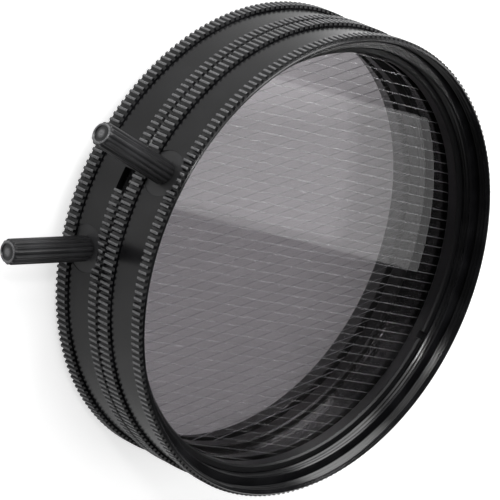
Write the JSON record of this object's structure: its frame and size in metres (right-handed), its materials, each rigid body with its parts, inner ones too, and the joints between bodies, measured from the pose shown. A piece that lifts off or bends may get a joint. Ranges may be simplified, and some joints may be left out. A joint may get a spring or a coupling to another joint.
{
  "type": "star filter",
  "caption": "Variable star filter for a lens front: stacked rotating line-etched glasses in knurled black metal rings, turned by fluted lever pins.",
  "frame": {"origin": "on the optical axis, in the rear face of the rear knurled ring, where the male thread begins", "axes": "+Z along the optical axis to the front of the filter, +X along the rear lever pin at rest, +Y completes the right-handed frame"},
  "size_m": [0.0982, 0.082, 0.0236],
  "materials": {
    "ring_metal": "satin black anodised",
    "cell_metal": "satin black anodised",
    "etched_glass": "polished, with etched lines",
    "holder_metal": "matte black anodised",
    "lever_metal": "satin black anodised"
  },
  "bodies": {
    "rear_base": {"rear_base_ring": "ring_metal"},
    "rear_turning": {"rear_cell": "cell_metal", "rear_glass": "etched_glass", "rear_glass_holder": "holder_metal", "rear_lever_pin": "lever_metal", "front_base_ring": "ring_metal"},
    "front_turning": {"front_cell": "cell_metal", "front_glass": "etched_glass", "front_glass_holder": "holder_metal", "front_lever_pin": "lever_metal"}
  },
  "joints": [
    {"name": "rear_cell_turn", "type": "hinge", "parent": "rear_base", "child": "rear_turning", "pos_m": [0, 0, 0.0017], "axis": [0, 0, 1], "continuous": true},
    {"name": "front_cell_turn", "type": "hinge", "parent": "rear_turning", "child": "front_turning", "pos_m": [0, 0, 0.0125], "axis": [0, 0, 1], "continuous": true}
  ]
}
